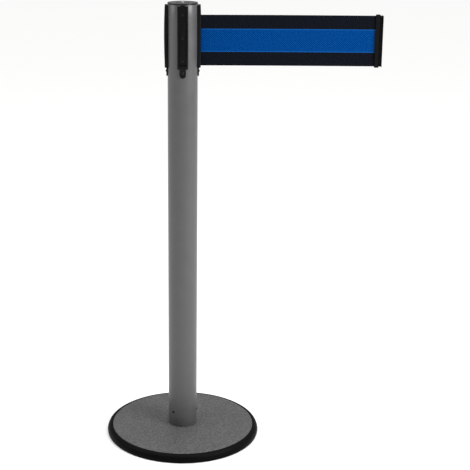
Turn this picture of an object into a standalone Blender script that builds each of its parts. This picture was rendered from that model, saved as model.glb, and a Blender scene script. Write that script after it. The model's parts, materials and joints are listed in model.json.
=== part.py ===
"""Retractable belt stanchion: a weighted base, a slotted post with three receivers, and a belt cassette in its head.

Metres, +Z up. The origin is on the floor, on the post's axis. The belt leaves the post along +X.
"""

from math import acos, cos, pi, radians, sin, sqrt, tau

import bmesh
import bpy
from mathutils import Matrix, Vector

# ---------------------------------------------------------------- driving sizes
POST_RADIUS = 0.0300
POST_WALL = 0.0015
POST_HEIGHT = 0.9165  # top of the cap
BASE_RADIUS = 0.1620  # widest part of the rubber ring
BASE_HEIGHT = 0.0187  # top of the cover at the post
BELT_WIDTH = 0.1000
BELT_LENGTH = 0.3455  # belt that shows, from the outlet to the belt end
BELT_THICKNESS = 0.0007
BELT_DROP = 0.0020  # how far the far end hangs below the outlet's line
RAIL_WIDTH = 0.0215
ROLL_RADIUS = 0.0215

# ---------------------------------------------------------------- clearances
GAP = 0.0003  # between pieces that touch
RUNNING_GAP = 0.0007  # between pieces that move past each other
FINE = 56  # segments of the base
ROUND = 40  # segments of the post
INNER = 24  # segments of the pieces inside the post
SMALL = 16
TINY = 10

# ---------------------------------------------------------------- sizes that follow
POST_BORE = POST_RADIUS - POST_WALL
CAP_THICKNESS = 0.0035
POST_TOP = POST_HEIGHT - CAP_THICKNESS - GAP
POST_BOTTOM = BASE_HEIGHT + GAP
RAIL_TOP = POST_HEIGHT - 0.0055
RAIL_HEIGHT = BELT_WIDTH + 0.0225  # a belt end of this width stands in it, clear of its floor
RAIL_BOTTOM = RAIL_TOP - RAIL_HEIGHT
STOP_HEIGHT = 0.0065  # solid end that closes a receiver's channel
TONGUE_WIDTH = 0.0125
TONGUE_DROP = 0.0180
TONGUE_BOTTOM = RAIL_BOTTOM - TONGUE_DROP
TONGUE_FACE = POST_RADIUS + 0.0025
SLOT_HALF = 0.0043  # half width of the slots in the post
SLOT_END = TONGUE_BOTTOM + TONGUE_WIDTH / 2  # centre of a slot's round end
WEB_HALF = SLOT_HALF - GAP
WEB_INNER = POST_BORE + 0.0001
CHANNEL_FLOOR = POST_RADIUS + 0.0016
CHANNEL_HALF = 0.0085
LIP_HALF = 0.0065  # half the opening between the lips
LIP_BACK = CHANNEL_FLOOR + 0.0022
RAIL_FACE = POST_RADIUS + 0.0053  # lips' outer face at the rail's ends
RAIL_CROWN = 0.0015  # how far the face bulges at mid height
SCALLOP_LENGTH = 0.0380
SCALLOP_DEPTH = 0.0024
SCREW_PITCH = (RAIL_HEIGHT - 0.0325) / 2
SCREW_MIDDLE = RAIL_BOTTOM + RAIL_HEIGHT / 2 - 0.00075

BELT_MIDDLE = RAIL_BOTTOM + 0.0030 + BELT_WIDTH / 2
BELT_TOP = BELT_MIDDLE + BELT_WIDTH / 2
BELT_BOTTOM = BELT_MIDDLE - BELT_WIDTH / 2
BELT_START = POST_RADIUS + 0.0042
BELT_END = BELT_START + BELT_LENGTH

AXLE_RADIUS = 0.00295
FRAME_RADIUS = POST_BORE - GAP
FLANGE_RADIUS = 0.0239
FLANGE_THICKNESS = 0.0016
FLANGE_LOW = BELT_BOTTOM - RUNNING_GAP - FLANGE_THICKNESS
FLANGE_HIGH = BELT_TOP + RUNNING_GAP
CUP_TOP = FLANGE_LOW - GAP
CUP_BOTTOM = CUP_TOP - 0.0126
BASE_FLOOR_TOP = CUP_BOTTOM - 0.0008
CASSETTE_BOTTOM = BASE_FLOOR_TOP - 0.0020
TONGUE_SCREW_Z = RAIL_BOTTOM - 0.0075
HUB_BOTTOM = FLANGE_HIGH + FLANGE_THICKNESS + GAP
SHOE_BOTTOM = HUB_BOTTOM + 0.0018
SHOE_TOP = SHOE_BOTTOM + 0.0056
LID_BOTTOM = SHOE_TOP + 0.0012
LID_TOP = LID_BOTTOM + 0.0040

CLIP_LENGTH = 0.0140
CLIP_HEIGHT = BELT_WIDTH + 0.0040
CLIP_MIDDLE = BELT_MIDDLE - BELT_DROP

RAIL_ANGLES = {"front": -pi / 2, "left": pi, "back": pi / 2}
FOOT_SCREW_ANGLES = (radians(-131.4), radians(-11.4), radians(108.6))
FOOT_SCREW_Z = BASE_HEIGHT + 0.0315


# ---------------------------------------------------------------- scene and helpers
def clear_scene():
    for obj in list(bpy.data.objects):
        bpy.data.objects.remove(obj, do_unlink=True)


def new_collection(name):
    collection = bpy.data.collections.new(name)
    bpy.context.scene.collection.children.link(collection)
    return collection


def new_material(name, colour, roughness, metallic=0.0):
    material = bpy.data.materials.new(name)
    material.use_nodes = True
    shader = material.node_tree.nodes["Principled BSDF"]
    shader.inputs["Base Color"].default_value = (*colour, 1.0)
    shader.inputs["Roughness"].default_value = roughness
    shader.inputs["Metallic"].default_value = metallic
    material.diffuse_color = (*colour, 1.0)
    return material


def place(name, mesh, material, collection=None):
    obj = bpy.data.objects.new(name, mesh)
    (collection or PARTS).objects.link(obj)
    if material is not None and not mesh.materials:
        mesh.materials.append(material)
    return obj


def as_cutter(obj):
    for collection in list(obj.users_collection):
        collection.objects.unlink(obj)
    CUTTERS.objects.link(obj)
    obj.hide_render = True
    obj.display_type = "WIRE"
    return obj


def shade(mesh, degrees=35):
    mesh.shade_smooth()
    mesh.set_sharp_from_angle(angle=radians(degrees))


def turned(name, profile, material, steps=ROUND):
    """A solid of revolution about Z. The profile's (radius, height) points run down the outer side."""
    mesh = bpy.data.meshes.new(name)
    points = [(radius, 0.0, height) for radius, height in profile]
    edges = [(i, i + 1) for i in range(len(points) - 1)]
    if profile[0][0] > 0.0:
        edges.append((len(points) - 1, 0))
    mesh.from_pydata(points, edges, [])
    obj = place(name, mesh, material)
    screw = obj.modifiers.new("turn", "SCREW")
    screw.axis = "Z"
    screw.steps = steps
    screw.render_steps = steps
    screw.use_merge_vertices = True
    screw.merge_threshold = 1e-5
    screw.use_smooth_shade = True
    return obj


def evaluated_mesh(obj, name):
    graph = bpy.context.evaluated_depsgraph_get()
    graph.update()
    return bpy.data.meshes.new_from_object(obj.evaluated_get(graph), depsgraph=graph)


def apply_modifiers(obj):
    """Makes the evaluated shape the object's own mesh."""
    bpy.context.view_layer.update()
    mesh = evaluated_mesh(obj, obj.name)
    obj.modifiers.clear()
    obj.data = mesh
    shade(mesh)
    return obj


def outline_mesh(name, points, thickness):
    """A flat outline in XY, filled and extruded along Z from 0 to thickness, as a closed mesh."""
    curve = bpy.data.curves.new(name, "CURVE")
    curve.dimensions = "2D"
    curve.fill_mode = "BOTH"
    curve.extrude = thickness / 2
    spline = curve.splines.new("POLY")
    spline.points.add(len(points) - 1)
    for point, (x, y) in zip(spline.points, points):
        point.co = (x, y, 0.0, 1.0)
    spline.use_cyclic_u = True
    holder = bpy.data.objects.new(name, curve)
    bpy.context.scene.collection.objects.link(holder)
    bpy.context.view_layer.update()
    mesh = evaluated_mesh(holder, name)
    bpy.data.objects.remove(holder)
    bpy.data.curves.remove(curve)
    shape = bmesh.new()
    shape.from_mesh(mesh)
    bmesh.ops.remove_doubles(shape, verts=shape.verts, dist=1e-6)
    bmesh.ops.translate(shape, verts=shape.verts, vec=(0.0, 0.0, thickness / 2))
    bmesh.ops.recalc_face_normals(shape, faces=shape.faces)
    shape.to_mesh(mesh)
    shape.free()
    return mesh


def extruded(name, points, low, high, material):
    """An outline in XY that stands between two heights."""
    mesh = outline_mesh(name, points, high - low)
    mesh.transform(Matrix.Translation((0.0, 0.0, low)))
    return place(name, mesh, material)


def outward(name, points, near, far, material):
    """An outline in YZ, extruded along X from near to far."""
    mesh = outline_mesh(name, points, far - near)
    turn = Matrix(((0, 0, 1, near), (1, 0, 0, 0), (0, 1, 0, 0), (0, 0, 0, 1)))
    mesh.transform(turn)
    return place(name, mesh, material)


def upright(name, points, thickness, material):
    """An outline in XZ, extruded to both sides of the XZ plane."""
    mesh = outline_mesh(name, points, thickness)
    turn = Matrix(((1, 0, 0, 0), (0, 0, -1, thickness / 2), (0, 1, 0, 0), (0, 0, 0, 1)))
    mesh.transform(turn)
    return place(name, mesh, material)


def cylinder(name, radius, length, material, segments=TINY, tip=None):
    """A cylinder along Z from 0 to length; tip is its upper radius where it tapers."""
    shape = bmesh.new()
    bmesh.ops.create_cone(
        shape,
        cap_ends=True,
        segments=segments,
        radius1=radius,
        radius2=radius if tip is None else tip,
        depth=length,
    )
    bmesh.ops.translate(shape, verts=shape.verts, vec=(0.0, 0.0, length / 2))
    mesh = bpy.data.meshes.new(name)
    shape.to_mesh(mesh)
    shape.free()
    shade(mesh)
    return place(name, mesh, material)


def box(name, low, high, material=None):
    """A box between two corners."""
    shape = bmesh.new()
    bmesh.ops.create_cube(shape, size=1.0)
    low, high = Vector(low), Vector(high)
    size = high - low
    bmesh.ops.scale(shape, verts=shape.verts, vec=size)
    bmesh.ops.translate(shape, verts=shape.verts, vec=(low + high) / 2)
    mesh = bpy.data.meshes.new(name)
    shape.to_mesh(mesh)
    shape.free()
    return place(name, mesh, material)


def boolean(obj, other, operation):
    modifier = obj.modifiers.new(operation.lower(), "BOOLEAN")
    modifier.operation = operation
    modifier.solver = "EXACT"
    modifier.object = other
    as_cutter(other)


def cut(obj, *cutters):
    for cutter in cutters:
        boolean(obj, cutter, "DIFFERENCE")
    return obj


def join(obj, *others):
    for other in others:
        boolean(obj, other, "UNION")
    return obj


def radial(obj, angle, radius, height):
    """Lays an object made along Z so that it points out from the axis at this angle."""
    obj.matrix_world = (
        Matrix.Rotation(angle, 4, "Z")
        @ Matrix.Translation((radius, 0.0, height))
        @ Matrix.Rotation(pi / 2, 4, "Y")
    )
    return obj


def around(obj, angle):
    obj.rotation_euler = (0.0, 0.0, angle)
    return obj


def arc(centre, radius, start, end, count):
    """Points along an arc, ends included."""
    step = (end - start) / (count - 1)
    return [
        (centre[0] + radius * cos(start + i * step), centre[1] + radius * sin(start + i * step))
        for i in range(count)
    ]


def both_sides(half):
    """A closed outline from its points at y >= 0, mirrored to y < 0."""
    return half + [(x, -y) for x, y in reversed(half) if y > 1e-9]


def pill(half_width, low, high, count=9):
    """An outline with a round lower end centred at low, and a square upper end."""
    return [(half_width, high), (-half_width, high)] + arc((0.0, low), half_width, pi, tau, count)


# ---------------------------------------------------------------- base
def build_base():
    rubber = MATERIALS["rubber"]
    pad_radius = BASE_RADIUS - 0.0140
    pad_top = 0.0020
    turned(
        "floor_pad",
        [
            (0.0, pad_top),
            (pad_radius, pad_top),
            (pad_radius, 0.0),
            (0.0, 0.0),
        ],
        rubber,
        ROUND,
    )

    edge = BASE_RADIUS
    seat = edge - 0.0113  # where the cover's rim sits
    bore = edge - 0.0131
    rim_low = BASE_HEIGHT - 0.0055
    turned(
        "base_ring",
        [
            (seat, BASE_HEIGHT - 0.0015),
            (edge - 0.0080, BASE_HEIGHT - 0.0014),
            (edge - 0.0044, BASE_HEIGHT - 0.0032),
            (edge - 0.0014, BASE_HEIGHT - 0.0074),
            (edge, BASE_HEIGHT - 0.0124),
            (edge - 0.0008, 0.0024),
            (edge - 0.0030, 0.0),
            (bore, 0.0),
            (bore, rim_low - GAP),
            (seat, rim_low - GAP),
        ],
        rubber,
        FINE,
    )

    outer = bore - 0.0004
    weight = turned(
        "base_weight",
        [
            (0.0053, BASE_HEIGHT - 0.0015),
            (outer - 0.0020, BASE_HEIGHT - 0.0026),
            (outer, BASE_HEIGHT - 0.0046),
            (outer, pad_top + 0.0016),
            (outer - 0.0016, pad_top + GAP),
            (0.0120, pad_top + GAP),
            (0.0120, pad_top + 0.0080),
            (0.0053, pad_top + 0.0080),
        ],
        MATERIALS["cast_iron"],
        INNER,
    )

    rim = seat - GAP
    sheet = 0.0012
    turned(
        "base_cover",
        [
            (0.0053, BASE_HEIGHT),
            (rim - 0.0400, BASE_HEIGHT - 0.0004),
            (rim - 0.0022, BASE_HEIGHT - 0.0009),
            (rim - 0.0004, BASE_HEIGHT - 0.0017),
            (rim, BASE_HEIGHT - 0.0030),
            (rim, rim_low),
            (rim - sheet, rim_low),
            (rim - sheet, BASE_HEIGHT - 0.0026),
            (rim - 0.0400, BASE_HEIGHT - 0.0004 - sheet),
            (0.0053, BASE_HEIGHT - sheet),
        ],
        MATERIALS["hammered_grey"],
        FINE,
    )
    return weight


def build_foot():
    steel = MATERIALS["zinc"]
    plug_top = FOOT_SCREW_Z + 0.0060
    radius = POST_BORE - GAP
    waist = radius - 0.0020
    bore = 0.0053
    plug = turned(
        "foot_plug",
        [
            (bore, plug_top),
            (radius - 0.0012, plug_top),
            (radius, plug_top - 0.0012),
            (radius, plug_top - 0.0115),
            (waist, plug_top - 0.0130),
            (waist, POST_BOTTOM + 0.0090),
            (radius, POST_BOTTOM + 0.0075),
            (radius, POST_BOTTOM),
            (bore, POST_BOTTOM),
        ],
        MATERIALS["cast_iron"],
        INNER,
    )
    hole_bottom = POST_BORE - 0.0085
    for number, angle in enumerate(FOOT_SCREW_ANGLES, 1):
        hole = cylinder(f"plug_hole_{number}", 0.00285, 0.0200, None, TINY)
        cut(plug, radial(hole, angle, hole_bottom, FOOT_SCREW_Z))

        screw = cylinder(f"foot_screw_{number}", 0.00255, 0.0092, MATERIALS["black_steel"], TINY)
        radial(screw, angle, hole_bottom + GAP, FOOT_SCREW_Z)
        socket = cylinder(f"foot_socket_{number}", 0.0015, 0.0040, None, 6)
        cut(screw, radial(socket, angle, POST_RADIUS - 0.0022, FOOT_SCREW_Z))

    head_low = 0.0020 + 0.0006
    head_high = head_low + 0.0064
    bolt_top = plug_top + 0.0130
    bolt = cylinder("tie_bolt", 0.0092, head_high - head_low, steel, 6)
    bolt.location.z = head_low
    shank = cylinder("tie_bolt_shank", 0.0048, bolt_top - head_low - 0.001, steel, SMALL)
    shank.location.z = head_low + 0.001
    join(bolt, shank)

    washer_low = plug_top + GAP
    turned(
        "tie_washer",
        [
            (0.0052, washer_low + 0.0018),
            (0.0104, washer_low + 0.0018),
            (0.0104, washer_low),
            (0.0052, washer_low),
        ],
        steel,
        SMALL,
    )
    nut_low = washer_low + 0.0018 + GAP
    nut = cylinder("tie_nut", 0.0092, 0.0080, steel, 6)
    nut.location.z = nut_low
    bore_cutter = cylinder("nut_bore", 0.0051, 0.02, None, SMALL)
    bore_cutter.location.z = nut_low - 0.005
    cut(nut, bore_cutter)


# ---------------------------------------------------------------- post
def build_post():
    post = turned(
        "post_tube",
        [
            (POST_RADIUS - 0.0002, POST_TOP),
            (POST_RADIUS, POST_TOP - 0.0003),
            (POST_RADIUS, POST_BOTTOM),
            (POST_BORE, POST_BOTTOM),
            (POST_BORE, POST_TOP),
        ],
        MATERIALS["grey_powder"],
        ROUND,
    )
    slot = pill(SLOT_HALF, SLOT_END, POST_HEIGHT + 0.01)
    along_x = outward("slots_x", slot, -2 * POST_RADIUS, 2 * POST_RADIUS, None)
    along_y = outward("slots_y", slot, -2 * POST_RADIUS, 2 * POST_RADIUS, None)
    cut(post, along_x, around(along_y, pi / 2))
    for number, angle in enumerate(FOOT_SCREW_ANGLES, 1):
        hole = cylinder(f"post_hole_{number}", 0.0030, 0.0100, None, 16)
        cut(post, radial(hole, angle, POST_RADIUS - 0.006, FOOT_SCREW_Z))


def build_cap():
    under = POST_HEIGHT - CAP_THICKNESS
    edge = POST_RADIUS + 0.0002
    cap = turned(
        "head_cap",
        [
            (0.0026, POST_HEIGHT - 0.0009),
            (0.0039, POST_HEIGHT - 0.0009),
            (0.0041, POST_HEIGHT + 0.0001),
            (0.0150, POST_HEIGHT),
            (0.0158, POST_HEIGHT - 0.0005),
            (edge - 0.0010, POST_HEIGHT - 0.0010),
            (edge, POST_HEIGHT - 0.0022),
            (edge, under),
            (FRAME_RADIUS, under),
            (FRAME_RADIUS, under - 0.0040),
            (FRAME_RADIUS - 0.0018, under - 0.0040),
            (FRAME_RADIUS - 0.0018, under + 0.0005),
            (0.0080, under + 0.0005),
            (0.0074, LID_TOP + 0.0005),
            (0.0026, LID_TOP + 0.0005),
        ],
        MATERIALS["grey_gloss"],
        ROUND,
    )
    notch_angle = radians(28)
    for side in range(4):
        for sign in (-1, 1):
            notch = box(
                f"cap_notch_{side}_{'a' if sign < 0 else 'b'}",
                (edge - 0.0012, -0.0011, under - 0.001),
                (edge + 0.0020, 0.0011, under + 0.0012),
            )
            cut(cap, around(notch, side * pi / 2 + sign * notch_angle))

    head = POST_HEIGHT - 0.0006
    screw = turned(
        "cap_screw",
        [
            (0.0, head + 0.0016),
            (0.0022, head + 0.0015),
            (0.0033, head + 0.0010),
            (0.0036, head + 0.0004),
            (0.0036, head),
            (0.0022, head),
            (0.0022, LID_TOP - 0.0012),
            (0.0, LID_TOP - 0.0012),
        ],
        MATERIALS["bright_steel"],
        SMALL,
    )
    socket = cylinder("cap_socket", 0.0014, 0.0040, None, 6)
    socket.location.z = head + 0.0004
    cut(screw, socket)


# ---------------------------------------------------------------- receivers and outlet
def post_side(half_from, half_to, count):
    """Points along the post's surface, with a gap, from one y to another."""
    clear = POST_RADIUS + GAP
    step = (half_to - half_from) / (count - 1)
    return [
        (sqrt(clear**2 - (half_from + i * step) ** 2), half_from + i * step) for i in range(count)
    ]


def rail_section():
    """The half outline of a rail: rounded face, side, a back that hugs the post, and the web in its slot."""
    half = RAIL_WIDTH / 2
    radius = 0.0024
    corner = arc((RAIL_FACE - radius, half - radius), radius, 0.0, pi / 2, 5)
    return corner + post_side(half, WEB_HALF, 4) + [(WEB_INNER, WEB_HALF)]


def crown(mesh):
    """Bulges a rail's face towards its mid height, from loops cut along its length."""
    shape = bmesh.new()
    shape.from_mesh(mesh)
    rows = 8
    for row in range(1, rows):
        level = RAIL_BOTTOM + RAIL_HEIGHT * row / rows
        whole = list(shape.verts) + list(shape.edges) + list(shape.faces)
        bmesh.ops.bisect_plane(
            shape, geom=whole, dist=1e-7, plane_co=(0, 0, level), plane_no=(0, 0, 1)
        )
    middle = RAIL_BOTTOM + RAIL_HEIGHT / 2
    for vert in shape.verts:
        reach = min(1.0, (vert.co.x - CHANNEL_FLOOR) / (RAIL_FACE - CHANNEL_FLOOR))
        height = (vert.co.z - middle) / (RAIL_HEIGHT / 2)
        if reach > 0.0 and abs(height) < 1.0:
            vert.co.x += RAIL_CROWN * reach * (1.0 - height**2)
    shape.to_mesh(mesh)
    shape.free()


def rail_blank(name):
    """A rail pointing along +X, with the tongue below it, before its channel is cut."""
    half = TONGUE_WIDTH / 2
    below = TONGUE_BOTTOM - 0.0010
    body = extruded(
        name, both_sides(rail_section()), below, RAIL_TOP, MATERIALS["black_nylon"]
    )
    crown(body.data)
    wide = RAIL_WIDTH
    shoulder = RAIL_BOTTOM + 0.0004
    surround = (
        [(-half, shoulder), (-wide, shoulder), (-wide, below - 0.002)]
        + [(wide, below - 0.002), (wide, shoulder), (half, shoulder)]
        + arc((0.0, SLOT_END), half, 0.0, -pi, 13)
    )
    beyond = RAIL_FACE + 0.010
    face = [
        (TONGUE_FACE, below - 0.003),
        (beyond, below - 0.003),
        (beyond, RAIL_BOTTOM + 0.0022),
        (TONGUE_FACE + 0.0004, RAIL_BOTTOM - 0.0008),
        (TONGUE_FACE, RAIL_BOTTOM - 0.0016),
    ]
    foot = (POST_BORE - 0.004, -SLOT_HALF, below - 0.004)
    cut(
        body,
        outward(name + "_surround", surround, 0.02, 0.05, None),
        upright(name + "_shoulder", face, 3 * RAIL_WIDTH, None),
        box(name + "_web_foot", foot, (POST_RADIUS + GAP, SLOT_HALF, SLOT_END)),
    )
    return body


def scallops(name):
    """Two lens-shaped cutters that open a rail's cheeks beside the post."""
    deep = POST_RADIUS - 0.0017 + SCALLOP_DEPTH
    radius = (SCALLOP_LENGTH**2 / 4 + SCALLOP_DEPTH**2) / (2 * SCALLOP_DEPTH)
    sweep = 1.6 * acos(1.0 - SCALLOP_DEPTH / radius)
    middle = RAIL_BOTTOM + RAIL_HEIGHT * 0.385
    lens = arc((deep - radius, middle), radius, -sweep, sweep, 11)
    chord = lens[0][0]
    made = []
    for side, (low, high) in (("a", (WEB_HALF + 0.0006, 0.012)), ("b", (-0.012, -WEB_HALF - 0.0006))):
        mesh = outline_mesh(name, lens, high - low)
        mesh.transform(Matrix(((1, 0, 0, 0), (0, 0, -1, high), (0, 1, 0, 0), (0, 0, 0, 1))))
        made.append(place(f"{name}_{side}", mesh, None))
    assert chord < POST_RADIUS - 0.0017
    return made


def countersink(name, floor):
    """A screw hole with a cone at the channel's floor, made along +Z."""
    depth = floor - WEB_INNER
    return turned(
        name,
        [
            (0.0, depth + 0.002),
            (0.0030, depth + 0.002),
            (0.0030, depth),
            (0.0017, depth - 0.0014),
            (0.0017, -0.002),
            (0.0, -0.002),
        ],
        None,
        TINY,
    )


def screw_heights():
    return [SCREW_MIDDLE + i * SCREW_PITCH for i in (1, 0, -1)]


def channel_cutter(name):
    """The T-shaped space that a belt end slides down: a pocket behind two flared lips."""
    flare = RAIL_FACE - 0.0008
    beyond = RAIL_FACE + 0.010
    section = [
        (CHANNEL_FLOOR, CHANNEL_HALF),
        (LIP_BACK, CHANNEL_HALF),
        (LIP_BACK, LIP_HALF),
        (flare, LIP_HALF),
        (beyond, LIP_HALF + 0.5 * (beyond - flare)),
    ]
    return extruded(name, both_sides(section), RAIL_BOTTOM + STOP_HEIGHT, RAIL_TOP + 0.01, None)


def build_receiver_mesh():
    """One receiver, pointing along +X: a channel with lips, closed at its lower end."""
    body = rail_blank("receiver")
    cut(body, channel_cutter("receiver_channel"), *scallops("receiver_scallop"))
    for number, height in enumerate(screw_heights(), 1):
        hole = countersink(f"receiver_hole_{number}", CHANNEL_FLOOR)
        cut(body, radial(hole, 0.0, WEB_INNER, height))
    cut(body, tongue_hole("receiver_tongue_hole"))
    apply_modifiers(body)
    mesh = body.data
    bpy.data.objects.remove(body)
    return mesh


def tongue_hole(name):
    hole = cylinder(name, 0.0017, 0.0100, None, TINY)
    return radial(hole, 0.0, WEB_INNER - 0.001, TONGUE_SCREW_Z)


def build_receivers():
    mesh = build_receiver_mesh()
    black = MATERIALS["black_steel"]
    bar_far = FRAME_RADIUS * cos(0.24)
    bar_near = bar_far - 0.0022
    for side, angle in RAIL_ANGLES.items():
        around(place(f"rail_{side}", mesh, None), angle)

        bar = box(
            f"clamp_bar_{side}",
            (bar_near, -0.0060, SCREW_MIDDLE - SCREW_PITCH - 0.0080),
            (bar_far, 0.0060, SCREW_MIDDLE + SCREW_PITCH + 0.0080),
            MATERIALS["zinc"],
        )
        around(bar, angle)
        for number, height in enumerate(screw_heights(), 1):
            hole = cylinder(f"bar_hole_{side}_{number}", 0.0017, 0.0060, None, TINY)
            cut(bar, radial(hole, angle, bar_near - 0.002, height))

            reach = CHANNEL_FLOOR - bar_near
            screw = turned(
                f"rail_screw_{side}_{number}",
                [
                    (0.0, reach - 0.0002),
                    (0.0026, reach - 0.0002),
                    (0.0026, reach - 0.0004),
                    (0.0014, reach - 0.0016),
                    (0.0014, -0.0004),
                    (0.0, -0.0004),
                ],
                black,
                TINY,
            )
            radial(screw, angle, bar_near, height)


def build_tongue_screws():
    tip = FRAME_RADIUS - 0.0030
    for side, angle in {**RAIL_ANGLES, "outlet": 0.0}.items():
        reach = TONGUE_FACE - tip + GAP
        screw = turned(
            f"tongue_screw_{side}",
            [
                (0.0, reach + 0.0010),
                (0.0014, reach + 0.0009),
                (0.0024, reach + 0.0004),
                (0.0025, reach),
                (0.0014, reach),
                (0.0014, 0.0),
                (0.0, 0.0),
            ],
            MATERIALS["black_steel"],
            TINY,
        )
        radial(screw, angle, tip, TONGUE_SCREW_Z)


ROLLER_RADIUS = 0.0020
ROLLER_X = POST_RADIUS + 0.0030
ROLLER_Y = ROLLER_RADIUS + BELT_THICKNESS / 2 + GAP
OUTLET_FLOOR = POST_RADIUS + 0.0004
OUTLET_LOW = BELT_BOTTOM - 0.0008
OUTLET_HIGH = BELT_TOP + 0.0015
THROAT_HALF = 0.0016


def build_outlet():
    """The outlet has a receiver's outer form, with a throat for the belt and room for two rollers."""
    body = rail_blank("rail_outlet")
    cut(
        body,
        box(
            "outlet_mouth",
            (POST_RADIUS + 0.0007, -LIP_HALF, OUTLET_LOW),
            (RAIL_FACE + 0.01, LIP_HALF, OUTLET_HIGH),
        ),
        box(
            "outlet_throat",
            (WEB_INNER - 0.001, -THROAT_HALF, OUTLET_LOW),
            (RAIL_FACE, THROAT_HALF, OUTLET_HIGH),
        ),
        tongue_hole("outlet_tongue_hole"),
    )
    pin = 0.0010
    for number, side in ((1, -1), (2, 1)):
        pocket = cylinder(f"roller_pocket_{number}", pin + GAP, OUTLET_HIGH - OUTLET_LOW + 0.0032, None)
        pocket.location = (ROLLER_X, side * ROLLER_Y, OUTLET_LOW - 0.0014)
        cut(body, pocket)
        roller = turned(
            f"guide_roller_{number}",
            [
                (0.0, OUTLET_HIGH + 0.0014),
                (pin, OUTLET_HIGH + 0.0014),
                (pin, OUTLET_HIGH - GAP),
                (ROLLER_RADIUS, OUTLET_HIGH - GAP),
                (ROLLER_RADIUS, OUTLET_LOW + GAP),
                (pin, OUTLET_LOW + GAP),
                (pin, OUTLET_LOW - 0.0010),
                (0.0, OUTLET_LOW - 0.0010),
            ],
            MATERIALS["bright_steel"],
            TINY,
        )
        roller.location = (ROLLER_X, side * ROLLER_Y, 0.0)


# ---------------------------------------------------------------- cassette
def build_cassette_frame():
    nylon = MATERIALS["dark_nylon"]
    wall = FLANGE_RADIUS + RUNNING_GAP
    base = turned(
        "cassette_base",
        [
            (wall, CUP_TOP),
            (FRAME_RADIUS, CUP_TOP),
            (FRAME_RADIUS, CASSETTE_BOTTOM),
            (AXLE_RADIUS + GAP, CASSETTE_BOTTOM),
            (AXLE_RADIUS + GAP, BASE_FLOOR_TOP),
            (wall, BASE_FLOOR_TOP),
        ],
        nylon,
        INNER,
    )
    for side in range(4):
        hole = cylinder(f"base_hole_{side}", 0.0017, 0.0060, None, TINY)
        cut(base, radial(hole, side * pi / 2, FRAME_RADIUS - 0.0042, TONGUE_SCREW_Z))

    turned(
        "cassette_lid",
        [
            (0.0027, LID_TOP),
            (FRAME_RADIUS - 0.0004, LID_TOP),
            (FRAME_RADIUS, LID_TOP - 0.0004),
            (FRAME_RADIUS, LID_BOTTOM),
            (AXLE_RADIUS + GAP, LID_BOTTOM),
            (AXLE_RADIUS + GAP, LID_BOTTOM + 0.0019),
            (0.0027, LID_BOTTOM + 0.0019),
        ],
        nylon,
        INNER,
    )
    radius = 0.0016
    for number in range(4):
        angle = pi / 4 + number * pi / 2
        low = CUP_TOP + GAP
        post = cylinder(f"frame_post_{number + 1}", radius, LID_BOTTOM - GAP - low, MATERIALS["zinc"])
        reach = FRAME_RADIUS - radius - 0.0004
        post.location = (reach * cos(angle), reach * sin(angle), low)


def build_spool():
    hub = 0.0080
    bore = 0.0045
    turned(
        "spool",
        [
            (bore, FLANGE_HIGH + FLANGE_THICKNESS),
            (FLANGE_RADIUS, FLANGE_HIGH + FLANGE_THICKNESS),
            (FLANGE_RADIUS, FLANGE_HIGH),
            (hub, FLANGE_HIGH),
            (hub, FLANGE_LOW + FLANGE_THICKNESS),
            (FLANGE_RADIUS, FLANGE_LOW + FLANGE_THICKNESS),
            (FLANGE_RADIUS, FLANGE_LOW),
            (bore, FLANGE_LOW),
        ],
        MATERIALS["dark_nylon"],
        INNER,
    )
    head_low = CASSETTE_BOTTOM - 0.0032
    turned(
        "spool_axle",
        [
            (0.0, LID_BOTTOM + 0.0014),
            (AXLE_RADIUS, LID_BOTTOM + 0.0014),
            (AXLE_RADIUS, CASSETTE_BOTTOM - GAP),
            (0.0050, CASSETTE_BOTTOM - GAP),
            (0.0050, head_low),
            (0.0, head_low),
        ],
        MATERIALS["bright_steel"],
        SMALL,
    )
    for name, low in (
        ("lower_bush", FLANGE_LOW),
        ("upper_bush", FLANGE_HIGH + FLANGE_THICKNESS - 0.0100),
    ):
        turned(
            name,
            [
                (AXLE_RADIUS + GAP, low + 0.0100),
                (bore - GAP, low + 0.0100),
                (bore - GAP, low),
                (AXLE_RADIUS + GAP, low),
            ],
            MATERIALS["bronze"],
            SMALL,
        )
    turned(
        "belt_roll",
        [
            (hub + GAP, BELT_TOP),
            (ROLL_RADIUS, BELT_TOP),
            (ROLL_RADIUS, BELT_BOTTOM),
            (hub + GAP, BELT_BOTTOM),
        ],
        MATERIALS["webbing"],
        INNER,
    )


def build_spring():
    wall = 0.0010
    radius = FLANGE_RADIUS
    turned(
        "spring_cup",
        [
            (radius - wall, CUP_TOP),
            (radius, CUP_TOP),
            (radius, CUP_BOTTOM),
            (AXLE_RADIUS + GAP, CUP_BOTTOM),
            (AXLE_RADIUS + GAP, CUP_BOTTOM + 0.0012),
            (radius - wall, CUP_BOTTOM + 0.0012),
        ],
        MATERIALS["zinc"],
        INNER,
    )
    turns, per_turn = 6, 14
    inner, outer = AXLE_RADIUS + 0.0008, radius - wall - GAP
    strip = 0.0006
    count = turns * per_turn
    near, far = [], []
    for i in range(count + 1):
        angle = tau * i / per_turn
        radius_here = inner + (outer - strip - inner) * i / count
        near.append((radius_here * cos(angle), radius_here * sin(angle)))
        far.append(((radius_here + strip) * cos(angle), (radius_here + strip) * sin(angle)))
    extruded(
        "power_spring",
        far + near[::-1],
        CUP_BOTTOM + 0.0012 + GAP,
        CUP_TOP - 0.0008,
        MATERIALS["spring_steel"],
    )


PIVOT_RADIUS = 0.0165
SHOE_INNER, SHOE_OUTER = 0.0142, 0.0206
PIVOT_ANGLES = [radians(-42 + 120 * i) for i in range(3)]


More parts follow.
